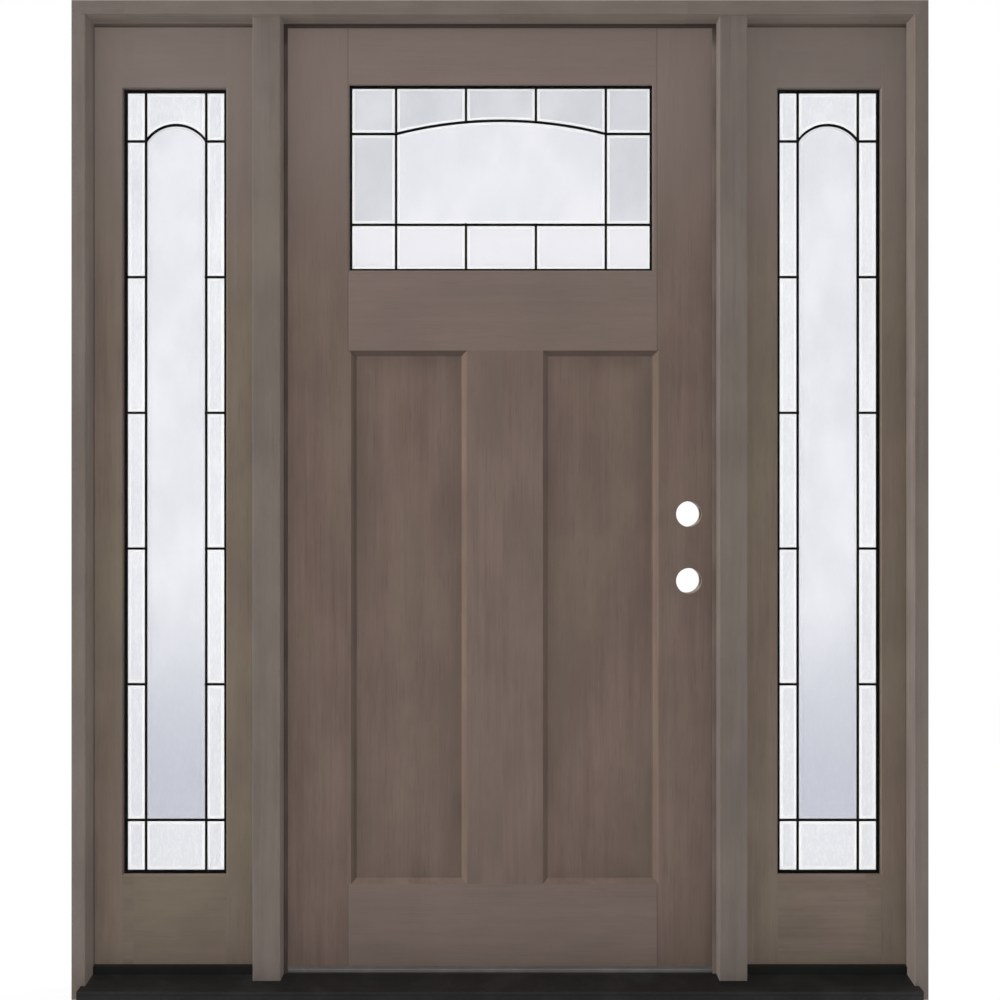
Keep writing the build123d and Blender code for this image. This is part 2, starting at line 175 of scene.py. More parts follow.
# %% Floor
floor_mesh = bpy.data.meshes.new("studio_floor")
reach = 9.0
corners = [(-reach, -reach, 0.0), (reach, -reach, 0.0), (reach, reach, 0.0), (-reach, reach, 0.0)]
floor_mesh.from_pydata(corners, [], [(0, 1, 2, 3)])
studio_floor = bpy.data.objects.new("studio_floor", floor_mesh)
scene.collection.objects.link(studio_floor)
floor_finish = bpy.data.materials.new("studio_floor")
floor_finish.use_nodes = True
floor_finish.node_tree.nodes.clear()
ground = Graph(floor_finish.node_tree)
ray = ground.add("ShaderNodeLightPath").outputs
pale_paint = (0.86, 0.86, 0.86, 1.0)
paint = ground.add("ShaderNodeBsdfDiffuse", {"Color": pale_paint})
glow = ground.add("ShaderNodeEmission", {"Color": plain_white, "Strength": 1.0})
away = ground.add("ShaderNodeVectorMath", {0: ground.add("ShaderNodeTexCoord").outputs["Object"]},
                  operation="LENGTH").outputs["Value"]
shadow_reach = 0.9
backdrop_starts = 4.0
least_glow = 0.82
glow_share = ground.ramp(away, shadow_reach, backdrop_starts, least_glow, 1.0)
shown = ground.math("MULTIPLY", ray["Is Camera Ray"], glow_share)
mixed = ground.add("ShaderNodeMixShader", {0: shown, 1: paint.outputs[0], 2: glow.outputs[0]})
ground.add("ShaderNodeOutputMaterial", {"Surface": mixed.outputs[0]})
floor_mesh.materials.append(floor_finish)
print("floor", 2 * reach, "m wide")

# %% [markdown]
# ## Lamps
# The key lamp stands far to the upper left and rakes over the door, so that the slopes of the recessed
# panels turn light or dark. It casts no shadow, because a jamb would otherwise throw one across the
# sidelite. The seals are the exception: they lie in the shade of the stops, so they are left out of the
# key and have a lamp of their own, which does cast shadows. Another lamp stands on the house side. Weak
# even lights from front and back reach into the corners beside the posts. The leaded glass has an even
# light in place of the key, so that its bevels are equally bright all round. Light linking does this: a
# lamp is given a collection of the pieces that it lights or leaves out. The lamps don't show in
# reflections or through the glass, so the glass shows only the white studio.

# %% Lamps
def add_lamp(name, kind, place, power, casts_shadow):
    """Lamp that points at the middle of the door and doesn't show in or through the glass."""
    lamp = bpy.data.objects.new(name, bpy.data.lights.new(name, kind))
    lamp.data.energy = power
    lamp.data.use_shadow = casts_shadow
    lamp.location = place
    lamp.rotation_euler = (door_middle - Vector(place)).to_track_quat("-Z", "Y").to_euler()
    lamp.visible_glossy = False
    lamp.visible_transmission = False
    scene.collection.objects.link(lamp)
    return lamp


def light_only(lamp, names, state="INCLUDE"):
    """Let a lamp reach only the named pieces, or all but them."""
    linked = bpy.data.collections.new(f"{lamp.name}_pieces")
    for name in names:
        linked.objects.link(pieces[name])
    for entry in linked.collection_objects:
        entry.light_linking.link_state = state
    lamp.light_linking.receiver_collection = linked


door_middle = Vector((0.0, 0.0, 1.0))
lamp_width = 2.4
seals = ("door_weatherstrip", "left_sidelite_gasket", "right_sidelite_gasket")
frame_members = ("left_jamb", "right_jamb", "head_jamb", "left_mullion_post", "right_mullion_post")
lites = ("door", "left_sidelite", "right_sidelite")
leaded_pieces = tuple(f"{lite}_{kind}_glass" for lite in lites for kind in ("border", "centre"))
for name, place, power, casts_shadow in (("key_lamp", (-7.0, -1.9, 5.5), 820.0, False),
                                         ("seal_lamp", (-5.5, -5.5, 3.5), 800.0, True),
                                         ("house_lamp", (4.2, 2.3, 3.6), 230.0, True)):
    lamp = add_lamp(name, "AREA", place, power, casts_shadow)
    lamp.data.shape = "DISK"
    lamp.data.size = lamp_width
    print(name, power, "W")
light_only(bpy.data.objects["key_lamp"], seals + leaded_pieces, "EXCLUDE")
light_only(bpy.data.objects["seal_lamp"], seals)

# %% Even lights from front and back
def add_even_light(name, place, strength):
    """Wide distant light without shadows."""
    even_light = add_lamp(name, "SUN", place, strength, False)
    even_light.data.angle = even_spread
    print(name, strength)
    return even_light


even_spread = math.radians(20)
in_front = (0.4, -8.0, 0.6)
behind = (-1.0, 8.0, 2.0)
add_even_light("front_light", in_front, 0.62)
add_even_light("back_light", behind, 0.5)
light_only(add_even_light("glass_light", in_front, 1.36), leaded_pieces)

# %% [markdown]
# The reveals of the frame face sideways, so the lights from front and back miss them. Reflector cards
# beside the door would send some light back. Two distant lights do the same, and they reach the frame
# alone, so that the leaf and the glass keep their shading.

# %% Bounce lights for the frame
for name, place, strength in (("right_bounce", (7.5, -0.8, -5.0), 1.8),
                              ("left_bounce", (-8.0, -0.6, 0.5), 1.1)):
    light_only(add_even_light(name, place, strength), frame_members)

# %% [markdown]
# ## Boards of the leaf
# The leaf's face imitates joinery: upright stiles at the sides, rails across, and upright boards in
# the panels. The grain runs along each board, so the finish has to know which board a point is on.
# That could be painted by hand or taken from a UV map. Here a node group works it out from the
# object's own coordinates, because the joints lie at plain distances from the middle. Its zones add up
# to a number that later shifts the grain, so that neighbouring boards differ. Two masks mark the edges
# of the panels and the slope under the upper rail, where painted shade stands in for the shade of the
# recesses.

# %% Board layout group
layout, given, made = shader_group(
    "board_layout",
    [("Vector", "vector"), ("Centre", "float"), ("Half Width", "float"), ("Low", "float"), ("High", "float"),
     ("Middle", "float"), ("Middle Stile", "float"), ("Joint Width", "float")],
    [("Rail", "float"), ("Joint", "float"), ("Board", "float"), ("Tone", "float"), ("Hollow", "float"),
     ("Shade Under Rail", "float")])
place = layout.add("ShaderNodeSeparateXYZ", {0: given["Vector"]}).outputs
aside = layout.math("SUBTRACT", place["X"], given["Centre"])
from_middle = layout.math("ABSOLUTE", aside)
inside = layout.math("LESS_THAN", from_middle, given["Half Width"])
above = layout.math("GREATER_THAN", place["Z"], given["High"])
below = layout.math("LESS_THAN", place["Z"], given["Low"])
rail_zone = layout.math("MAXIMUM", above, below)
rail = layout.math("MULTIPLY", inside, rail_zone)
upright = layout.math("SUBTRACT", 1.0, rail)
to_joint = layout.math("ABSOLUTE", layout.math("SUBTRACT", from_middle, given["Half Width"]))
joint_line = layout.math("SUBTRACT", 1.0, layout.ramp(to_joint, 0.0, given["Joint Width"]))
beside_middle = layout.math("ABSOLUTE", layout.math("SUBTRACT", place["X"], given["Middle"]))
middle = layout.math("MULTIPLY", layout.math("LESS_THAN", beside_middle, given["Middle Stile"]), upright)
right_half = layout.math("GREATER_THAN", aside, 0.0)
upper_rail = layout.math("MULTIPLY", rail, above)
board = layout.math("MULTIPLY", rail, 3.1)
for zone, shift in ((upper_rail, 2.7), (layout.math("MULTIPLY", right_half, upright), 5.3), (middle, 8.9),
                    (layout.math("MULTIPLY", inside, upright), 1.7)):
    board = layout.math("ADD", board, layout.math("MULTIPLY", zone, shift))
middle_tone = 0.4
tone = layout.math("ADD", rail, layout.math("MULTIPLY", middle, middle_tone))
joint = layout.math("MULTIPLY", joint_line, rail_zone)
# Painted shade masks: the edges of each panel and the slope under the upper rail, where the leaf is painted
# darker in place of the shade of the recess.
to_stile = layout.math("MINIMUM", layout.math("SUBTRACT", given["Half Width"], from_middle),
                       layout.math("SUBTRACT", beside_middle, given["Middle Stile"]))
to_upper = layout.math("SUBTRACT", given["High"], place["Z"])
to_rail = layout.math("MINIMUM", layout.math("SUBTRACT", place["Z"], given["Low"]), to_upper)
from_edge = layout.math("MINIMUM", to_stile, to_rail)
slope_width = 0.011
recess_shade_width = 0.075
near_edge = layout.math("SUBTRACT", 1.0, layout.ramp(from_edge, 0.0, recess_shade_width))
recess_shade = layout.math("MULTIPLY", layout.math("GREATER_THAN", from_edge, slope_width), near_edge)
on_slope = layout.math("MULTIPLY", layout.math("GREATER_THAN", to_upper, 0.0),
                       layout.math("LESS_THAN", to_upper, slope_width))
shade_under_rail = layout.math("MULTIPLY", on_slope, layout.math("LESS_THAN", to_upper, to_stile))
for label, value in (("Rail", rail), ("Joint", joint), ("Board", board), ("Tone", tone), ("Hollow", recess_shade),
                     ("Shade Under Rail", shade_under_rail)):
    layout.tree.links.new(value, made[label])
board_layout = layout.tree
print("group", board_layout.name)

# %% [markdown]
# ## Stained grain
# The leaf is fibreglass with a moulded wood grain and a taupe stain that collects in the grain. A few
# noises, drawn out along the board, are enough: broad clouds where the stain leans to mauve or to
# olive, mottling where it was wiped unevenly, streaks a centimetre wide, and fine pores that are darker
# and slightly sunk. The same group serves the frame and the wood edges with other colours.

# %% Stained grain group
grain, given, made = shader_group(
    "stained_grain",
    [("Vector", "vector"), ("Rail", "float"), ("Board", "float"), ("Pale", "colour"), ("Deep", "colour"),
     ("Cast", "colour"), ("Pores", "float")],
    [("Color", "colour"), ("Roughness", "float"), ("Height", "float")])
place = grain.add("ShaderNodeSeparateXYZ", {0: given["Vector"]}).outputs
turned = grain.add("ShaderNodeCombineXYZ", {0: place["Z"], 1: place["Y"], 2: place["X"]}).outputs[0]
along = grain.add("ShaderNodeMix", {0: given["Rail"], 4: given["Vector"], 5: turned},
                  data_type="VECTOR").outputs[1]
board = given["Board"]
cloud_run, mottle_run = (7.0, 7.0, 2.0), (11.0, 11.0, 5.0)
streak_run, flame_run, pore_run = (75.0, 75.0, 2.2), (22.0, 22.0, 1.1), (620.0, 620.0, 17.0)
pore_dark = (0.03, 0.022, 0.018, 1.0)
clouds = grain.noise(grain.stretch(along, cloud_run), detail=3.0, w=board)
streaks = grain.noise(grain.stretch(along, streak_run), detail=5.0, rough=0.62, w=board, twist=0.4)
flames = grain.noise(grain.stretch(along, flame_run), detail=4.0, w=board, twist=1.2)
pore_noise = grain.noise(grain.stretch(along, pore_run), detail=2.0, w=board)
pores = grain.math("MULTIPLY", grain.ramp(pore_noise, 0.54, 0.72), given["Pores"])
figure = grain.math("ADD", grain.math("MULTIPLY", streaks, 0.55), grain.math("MULTIPLY", flames, 0.45))
body = grain.blend(grain.ramp(figure, 0.36, 0.64), given["Pale"], given["Deep"])
body = grain.blend(grain.ramp(clouds, 0.35, 0.68, 0.0, 0.75), body, given["Cast"])
mottle = grain.noise(grain.stretch(along, mottle_run), detail=4.0, rough=0.6, w=board)
body = grain.add("ShaderNodeHueSaturation", {"Value": grain.ramp(mottle, 0.3, 0.7, 0.9, 1.1),
                                             "Color": body}).outputs[0]
body = grain.blend(grain.math("MULTIPLY", pores, 0.16), body, pore_dark)
grain.tree.links.new(body, made["Color"])
grain.tree.links.new(grain.math("ADD", grain.ramp(streaks, 0.3, 0.7, 0.44, 0.56),
                                grain.math("MULTIPLY", pores, 0.1)), made["Roughness"])
grain.tree.links.new(grain.math("SUBTRACT", grain.math("MULTIPLY", streaks, 0.5), pores), made["Height"])
stained_grain = grain.tree
print("group", stained_grain.name)

# %% [markdown]
# ## Making and handing out finishes
# A finish is a material with one Principled shader. Numbers that are the same all over the surface are
# typed into the shader itself, and only what changes over the surface comes in by a link.

# %% Finish helpers
def finish(name, **constants):
    """Material with a Principled shader, as its graph and its shader."""
    material = bpy.data.materials.new(name)
    material.use_nodes = True
    graph = Graph(material.node_tree)
    shader = material.node_tree.nodes["Principled BSDF"]
    for socket, value in constants.items():
        shader.inputs[socket.replace("_", " ")].default_value = value
    return material, graph, shader


def place_group(graph, tree, **inputs):
    """Place a node group; an underscore in a name stands for a space."""
    made = graph.add("ShaderNodeGroup", node_tree=tree)
    for name, value in inputs.items():
        socket = made.inputs[name.replace("_", " ")]
        if isinstance(value, bpy.types.NodeSocket):
            graph.tree.links.new(value, socket)
        else:
            socket.default_value = value
    return made.outputs


def feed(graph, shader, height=None, strength=0.2, depth=0.001, **sockets):
    """Link values to the shader's sockets, and a height to its normal by way of a bump."""
    for name, value in sockets.items():
        graph.tree.links.new(value, shader.inputs[name.replace("_", " ")])
    if height is not None:
        bump = graph.add("ShaderNodeBump", {"Strength": strength, "Distance": depth, "Height": height})
        graph.tree.links.new(bump.outputs[0], shader.inputs["Normal"])


def dress(material, *names):
    """Give CAD pieces a finish."""
    for name in names:
        pieces[name].material_slots[0].material = material


def object_place(graph):
    """The point's place in the shared frame, because every piece sits at the origin."""
    return graph.add("ShaderNodeTexCoord").outputs["Object"]


print("finish helpers ready")

# %% [markdown]
# ## Leaf
# The leaf is one moulded skin, so its boards are only drawn: the layout group says which board a point
# is on, and the grain follows. A joint is a hairline, a little darker and a little sunk, because the
# stain wipes into it. The panels get painted shade: their edges are painted darker in place of the
# shade in the recesses, most of all on the slope under the upper rail. The rails and the middle stile
# took the stain a shade paler, and the leaf is painted paler towards the top as painted light from above.

# %% Stained leaf
leaf_pale = colour(108, 92, 85)
leaf_deep = colour(99, 83, 76)
leaf_cast = colour(104, 91, 81)
leaf_paler = colour(122, 110, 106)
joint_and_shade_dark = (0.045, 0.034, 0.028, 1.0)
joint_share = 0.45
rail_shade_share = 0.5
top_light_levels = (1.35, 1.85)
top_light_span = (1.3, 1.9)
top_light_shares = (0.3, 0.6)
shade_noise_run = (9.0, 9.0, 3.0)

leaf_finish, graph, shader = finish("stained_leaf", IOR=1.45, Specular_IOR_Level=0.2)
where = object_place(graph)
boards = place_group(graph, board_layout, Vector=where, Centre=0.0055, Half_Width=0.3245, Low=0.218,
                     High=1.339, Middle=0.010, Middle_Stile=0.080, Joint_Width=0.0016)
stain = place_group(graph, stained_grain, Vector=where, Rail=boards["Rail"], Board=boards["Board"],
                    Pale=leaf_pale, Deep=leaf_deep, Cast=leaf_cast, Pores=1.0)
height = graph.add("ShaderNodeSeparateXYZ", {0: where}).outputs["Z"]
# Painted light: the paler colour is blended in more with height, standing in for light from above; the paler
# tone of the rails and the middle stile is real.
tone_and_top_light = graph.math("MAXIMUM", boards["Tone"], graph.ramp(height, *top_light_levels))
tone_and_top_light = graph.math("MULTIPLY", tone_and_top_light, graph.ramp(height, *top_light_span, *top_light_shares))
# Painted shade: a darker colour along the panel edges and on the slope under the upper rail, varied by a
# noise, stands in for the shade of the recesses.
shade_noise = graph.noise(graph.stretch(where, shade_noise_run), detail=2.0)
painted_shade = graph.math("MULTIPLY", boards["Hollow"], graph.ramp(shade_noise, 0.3, 0.7, 0.12, 0.42))
painted_shade = graph.math("MAXIMUM", painted_shade, graph.math("MULTIPLY", boards["Shade Under Rail"], rail_shade_share))
tint = graph.blend(tone_and_top_light, stain["Color"], leaf_paler)
tint = graph.blend(painted_shade, tint, joint_and_shade_dark)
tint = graph.blend(graph.math("MULTIPLY", boards["Joint"], joint_share), tint, joint_and_shade_dark)
relief = graph.math("SUBTRACT", stain["Height"], graph.math("MULTIPLY", boards["Joint"], 1.5))
feed(graph, shader, height=relief, strength=0.25, depth=0.0006, Base_Color=tint, Roughness=stain["Roughness"])
dress(leaf_finish, "door_exterior_skin", "door_interior_skin")
print("leaf stained")

# %% [markdown]
# ## Sidelites and frame
# The sidelites are joined from real stiles and rails, and so is the frame, so here each piece has a
# finish with its grain along the piece. The sidelites lean to olive, and the frame is a shade greyer.
# Pieces that share a finish still differ, because the noise is shifted by where a piece stands: the
# width of the unit is cut into steps, and every step has another figure.

# %% Stained sidelites and frame
def stained_member(name, across, pale, deep, cast, pores, top=None):
    """Stained finish for a straight member, with the grain upright or across, and a paler colour painted
    towards the top as painted light.
    """
    material, graph, shader = finish(name, IOR=1.45, Specular_IOR_Level=0.2)
    where = object_place(graph)
    place = graph.add("ShaderNodeSeparateXYZ", {0: where}).outputs
    member = graph.math("FLOOR", graph.math("MULTIPLY", place["X"], steps_per_metre))
    stain = place_group(graph, stained_grain, Vector=where, Rail=across, Board=member, Pale=pale, Deep=deep,
                        Cast=cast, Pores=pores)
    tint = stain["Color"]
    if top is not None:
        # Painted light: towards the top the colour turns to the given paler one, standing in for light from
        # above.
        tint = graph.blend(graph.ramp(place["Z"], *top_light_span, 0.0, top_light_share), tint, top)
    feed(graph, shader, height=stain["Height"], strength=0.2, depth=0.0006, Base_Color=tint,
         Roughness=stain["Roughness"])
    return material


steps_per_metre = 2.6
top_light_share = 0.6
side_colours = (colour(113, 100, 91), colour(104, 91, 82), colour(108, 99, 85))
side_top_light = colour(117, 107, 104)
frame_colours = (colour(107, 98, 93), colour(98, 89, 84), colour(103, 95, 87))
dress(stained_member("stained_side_stiles", 0.0, *side_colours, 1.0, side_top_light),
      "left_sidelite_stiles", "right_sidelite_stiles")
dress(stained_member("stained_side_rails", 1.0, *side_colours, 0.6, side_top_light),
      "left_sidelite_rails", "right_sidelite_rails")
dress(stained_member("stained_uprights", 0.0, *frame_colours, 0.6),
      "left_jamb", "right_jamb", "left_mullion_post", "right_mullion_post")
dress(stained_member("stained_head", 1.0, *frame_colours, 0.6), "head_jamb")
print("sidelites and frame stained")

# %% [markdown]
# Between the two skins of the leaf are stiles and rails of wood, which show as its four edges, and a
# core of foam. The wood takes the same grain group with other colours. The core is hidden in the closed
# leaf, so one cell pattern is enough for it.

# %% Wood edges and foam core
edge_wood, graph, shader = finish("edge_wood", IOR=1.45, Specular_IOR_Level=0.2)
where = object_place(graph)
stain = place_group(graph, stained_grain, Vector=where, Rail=0.0, Board=4.2, Pale=colour(128, 112, 98),
                    Deep=colour(98, 84, 72), Cast=colour(112, 98, 82), Pores=1.0)
feed(graph, shader, height=stain["Height"], strength=0.3, depth=0.0006, Base_Color=stain["Color"],
     Roughness=stain["Roughness"])
dress(edge_wood, "hinge_stile", "latch_stile", "door_top_rail", "door_bottom_rail")

foam, graph, shader = finish("core_foam", Roughness=0.9)
cells = graph.add("ShaderNodeTexVoronoi", {"Vector": object_place(graph), "Scale": 420.0}).outputs["Distance"]
feed(graph, shader, height=cells, strength=0.5, depth=0.0008,
     Base_Color=graph.blend(graph.ramp(cells, 0.1, 0.7), colour(214, 196, 150), colour(170, 150, 108)))
dress(foam, "door_core")
print("edges and core dressed")

# %% [markdown]
# ## Worn satin
# The sill, the cap, the cames and the hinges are smooth and a little uneven: handling and cleaning
# leave cloudy patches and fine scratches. One group gives both, with the scratches drawn out along
# whichever way the metal was rolled.

# %% Worn satin group
satin, given, made = shader_group(
    "worn_satin",
    [("Vector", "vector"), ("Run", "vector"), ("Base", "colour"), ("Rubbed", "colour"), ("Amount", "float"),
     ("Gloss", "float")],
    [("Color", "colour"), ("Roughness", "float"), ("Height", "float")])
scratches = satin.noise(satin.stretch(given["Vector"], given["Run"]), detail=3.0, rough=0.7)
patches = satin.noise(given["Vector"], scale=14.0, detail=4.0, rough=0.6)
rubbed = satin.math("MULTIPLY", satin.ramp(patches, 0.42, 0.7), given["Amount"])
streaked = satin.math("MULTIPLY", satin.ramp(scratches, 0.45, 0.7), given["Amount"])
tint = satin.blend(rubbed, given["Base"], given["Rubbed"])
satin.tree.links.new(satin.blend(satin.math("MULTIPLY", streaked, 0.6), tint, given["Rubbed"]), made["Color"])
satin.tree.links.new(satin.math("ADD", given["Gloss"], satin.math("MULTIPLY", scratches, 0.16)),
                     made["Roughness"])
satin.tree.links.new(scratches, made["Height"])
worn_satin = satin.tree
print("group", worn_satin.name)

# %% Sill, cap, cames, spacers and hinges
def satin_finish(name, run, base, rubbed, amount, gloss, metallic=0.0, specular=0.5):
    """Smooth finish with light wear along the given run of scratches."""
    material, graph, shader = finish(name, Metallic=metallic, IOR=1.45, Specular_IOR_Level=specular)
    wear = place_group(graph, worn_satin, Vector=object_place(graph), Run=run, Base=base, Rubbed=rubbed,
                       Amount=amount, Gloss=gloss)
    feed(graph, shader, height=wear["Height"], strength=0.1, depth=0.0004, Base_Color=wear["Color"],
         Roughness=wear["Roughness"])
    return material


along_sill = (3.0, 260.0, 260.0)
along_hinge = (240.0, 240.0, 6.0)
even = (90.0, 90.0, 90.0)
black_sill = satin_finish("black_sill", along_sill, colour(22, 21, 21), colour(40, 39, 39), 0.5, 0.42,
                          specular=0.25)
black_riser = satin_finish("black_riser", along_sill, colour(20, 20, 19), colour(32, 32, 31), 0.4, 0.5,
                           specular=0.15)
sill_core = satin_finish("sill_core", even, colour(58, 54, 50), colour(76, 72, 66), 0.5, 0.7)
grey_cap = satin_finish("grey_cap", along_sill, colour(98, 96, 94), colour(122, 120, 118), 0.5, 0.4,
                        metallic=0.3)
came_black = satin_finish("came_black", even, colour(4, 4, 5), colour(14, 14, 15), 0.4, 0.5, specular=0.06)
spacer_black = satin_finish("spacer_black", even, colour(6, 6, 6), colour(16, 16, 16), 0.3, 0.5,
                            specular=0.06)
hinge_metal = satin_finish("hinge_metal", along_hinge, colour(176, 172, 164), colour(206, 203, 196), 0.5,
                           0.28, metallic=1.0)
dress(black_sill, "sill_deck")
dress(black_riser, "left_sill_riser", "right_sill_riser")
dress(sill_core, "sill_base")
dress(grey_cap, "threshold_cap")
for owner in lites:
    dress(came_black, f"{owner}_cames")
    dress(spacer_black, f"{owner}_spacer")
dress(hinge_metal, "frame_hinge_leaves", "door_hinge_leaves")
print("sill, cames and hinges dressed")

# %% [markdown]
# ## Seals
# The weatherstrip is foam in a soft skin. Up close its skin has a fine pebble, and it is the colour of
# the frame but duller. Along the head the strip over the leaf is painted darker, as painted shade under
# the head, and the gaskets over the sidelites are painted paler, as painted light, so each kind gets a
# colour of its own there.

# %% Foam seals
def foam_seal(name, at_head):
    """Foam in a dull, pebbled skin, with a colour of its own along the head of the frame, which is painted
    shade on the door's strip and painted light on the gaskets.
    """
    material, graph, shader = finish(name, Roughness=0.8, IOR=1.4, Specular_IOR_Level=0.15)
    where = object_place(graph)
    pebble = graph.noise(where, scale=700.0, detail=2.0)
    wide = graph.noise(where, scale=9.0, detail=2.0)
    skin = graph.blend(graph.ramp(wide, 0.35, 0.65), colour(76, 68, 62), colour(88, 79, 73))
    height = graph.add("ShaderNodeSeparateXYZ", {0: where}).outputs["Z"]
    # Painted shade and light: along the head the colour turns to the given one, darker on the door's strip,
    # paler on the gaskets.
    skin = graph.blend(graph.ramp(height, *painted_head_level), skin, at_head)
    feed(graph, shader, height=pebble, strength=0.35, depth=0.0004, Base_Color=skin)
    return material


painted_head_level = (1.97, 1.99)
dress(foam_seal("door_seal", colour(64, 56, 52)), "door_weatherstrip")
dress(foam_seal("sidelite_seal", colour(96, 86, 79)), "left_sidelite_gasket", "right_sidelite_gasket")
print("seals dressed")

# %% [markdown]
# ## Leaded glass
# Two clear panes hold a leaded panel between them. Its pieces are bevelled all round, and the bevels
# catch the sky, so each piece has a bright band inside its black came; the band is a painted highlight,
# white painted into the colour of the bevel faces. The band could be a texture that follows the layout,
# but the bevels are real faces here: a face that tilts away from the pane is a bevel, and the object's
# own normal tells that. The door's pieces are lightly clouded. The sidelites' border pieces have a fine
# rain pattern. The sidelites' glass is painted darker lower down, and their long centres a cool blue, as
# painted shade of the surroundings seen through the glass. The clear panes reflect little seen square
# on and more seen from the side, so their alpha follows the angle.

# %% Bevel and rain groups
bevel, given, made = shader_group("bevel_band", [("Normal", "vector")], [("Band", "float")])
facing = bevel.math("ABSOLUTE", bevel.add("ShaderNodeSeparateXYZ", {0: given["Normal"]}).outputs["Y"])
flat_from = 0.985
edge_below = 0.5
tilted = bevel.math("MULTIPLY", bevel.math("LESS_THAN", facing, flat_from),
                    bevel.math("GREATER_THAN", facing, edge_below))
bevel.tree.links.new(tilted, made["Band"])
bevel_band = bevel.tree

rain, given, made = shader_group("rain_glass", [("Vector", "vector"), ("Grit", "float")],
                                 [("Height", "float"), ("Cloud", "float"), ("Fleck", "float")])
drop_run, fine_run, haze_run = (230.0, 230.0, 85.0), (520.0, 520.0, 240.0), (14.0, 14.0, 8.0)
drops = rain.noise(rain.stretch(given["Vector"], drop_run), detail=2.0, rough=0.6, twist=0.8)
fine = rain.noise(rain.stretch(given["Vector"], fine_run), detail=1.0)
cloud = rain.noise(rain.stretch(given["Vector"], haze_run), detail=3.0)
rough_face = rain.math("ADD", rain.ramp(drops, 0.35, 0.65), rain.math("MULTIPLY", fine, 0.4))
rain.tree.links.new(rain.math("MULTIPLY", rough_face, given["Grit"]), made["Height"])
rain.tree.links.new(cloud, made["Cloud"])
rain.tree.links.new(rain.math("MULTIPLY", rain.ramp(drops, 0.42, 0.72), given["Grit"]), made["Fleck"])
rain_glass = rain.tree
print("groups", bevel_band.name, rain_glass.name)

# %% Glass finishes
def leaded_glass(name, pale, shade, lower, fade, grit, bevel_highlight):
    """Obscure glass: clouded, another colour below a level, a painted highlight on the bevels and a rain
    pattern.
    """
    material, graph, shader = finish(name, IOR=1.45, Transmission_Weight=0.35)
    coordinates = graph.add("ShaderNodeTexCoord").outputs
    where = coordinates["Object"]
    pattern = place_group(graph, rain_glass, Vector=where, Grit=grit)
    rim = place_group(graph, bevel_band, Normal=coordinates["Normal"])
    height = graph.add("ShaderNodeSeparateXYZ", {0: where}).outputs["Z"]
    body = graph.blend(graph.ramp(pattern["Cloud"], 0.3, 0.7), pale, shade)
    # Below the given level the colour turns to the lower one; on the sidelites this is painted shade of the
    # surroundings seen through the glass.
    body = graph.blend(graph.ramp(height, *fade), body, lower)
    body = graph.blend(graph.math("MULTIPLY", pattern["Fleck"], fleck_share), body, plain_white)
    # Painted highlight: the bevel faces are blended towards white, standing in for the bright sky that the
    # bevels catch.
    body = graph.blend(graph.math("MULTIPLY", rim["Band"], bevel_highlight), body, plain_white)
    feed(graph, shader, height=pattern["Height"], strength=0.25, depth=0.0012, Base_Color=body,
         Roughness=graph.math("SUBTRACT", obscure, graph.math("MULTIPLY", rim["Band"], polish)))
    return material


fleck_share = 0.3
obscure = 0.42
polish = 0.2
lower_row = (1.615, 1.600)
# Painted shade: over this height the sidelites' glass turns darker and bluer, standing in for the dimmer
# surroundings seen through it.
painted_shade_fade = (0.90, 0.40)
dress(leaded_glass("door_border_glass", colour(215, 216, 220), colour(204, 206, 211), colour(227, 227, 231),
                   lower_row, grit=0.15, bevel_highlight=1.0), "door_border_glass")
dress(leaded_glass("door_centre_glass", colour(229, 229, 233), colour(220, 221, 226), colour(226, 226, 230),
                   lower_row, grit=0.2, bevel_highlight=1.0), "door_centre_glass")
side_border = leaded_glass("sidelite_border_glass", colour(231, 232, 235), colour(221, 223, 227),
                           colour(219, 220, 224), painted_shade_fade, grit=1.0, bevel_highlight=1.0)
side_centre = leaded_glass("sidelite_centre_glass", colour(229, 230, 234), colour(221, 222, 227),
                           colour(193, 195, 205), painted_shade_fade, grit=0.25, bevel_highlight=0.2)
for side in ("left", "right"):
    dress(side_border, f"{side}_sidelite_border_glass")
    dress(side_centre, f"{side}_sidelite_centre_glass")

square_on = 0.015
edge_on = 0.4
clear_pane, graph, shader = finish("clear_pane", Roughness=0.05, IOR=1.5, Alpha=0.05)
smear = graph.noise(object_place(graph), scale=5.0, detail=3.0)
aslant = graph.add("ShaderNodeLayerWeight", {"Blend": 0.3}).outputs["Facing"]
feed(graph, shader, Base_Color=graph.blend(smear, colour(70, 78, 78), colour(96, 104, 104)),
     Alpha=graph.ramp(aslant, 0.3, 1.0, square_on, edge_on))
for owner in lites:
    dress(clear_pane, f"{owner}_outer_pane", f"{owner}_inner_pane")
print("glass dressed")

# %% [markdown]
# ## Screws in the hinge leaves
# Each hinge leaf is held by four countersunk screws in a zigzag. Four times three screws on two bodies
# is a job for Geometry Nodes: one cross-recessed head is made by a boolean, a short line of points is
# staggered, and the line is placed on every hinge. The tree ends in real meshes, because instances are
# lost in an export.

# %% Helpers for geometry trees
def geometry_tree(name, inputs):
    """Geometry node tree with a geometry in and out and the named number inputs."""
    tree = bpy.data.node_groups.new(name, "GeometryNodeTree")
    tree.interface.new_socket("Geometry", in_out="INPUT", socket_type="NodeSocketGeometry")
    for label, kind, value in inputs:
        socket = tree.interface.new_socket(label, in_out="INPUT", socket_type=kind)
        socket.default_value = value
    tree.interface.new_socket("Geometry", in_out="OUTPUT", socket_type="NodeSocketGeometry")
    graph = Graph(tree)
    return graph, graph.add("NodeGroupInput").outputs, graph.add("NodeGroupOutput").inputs


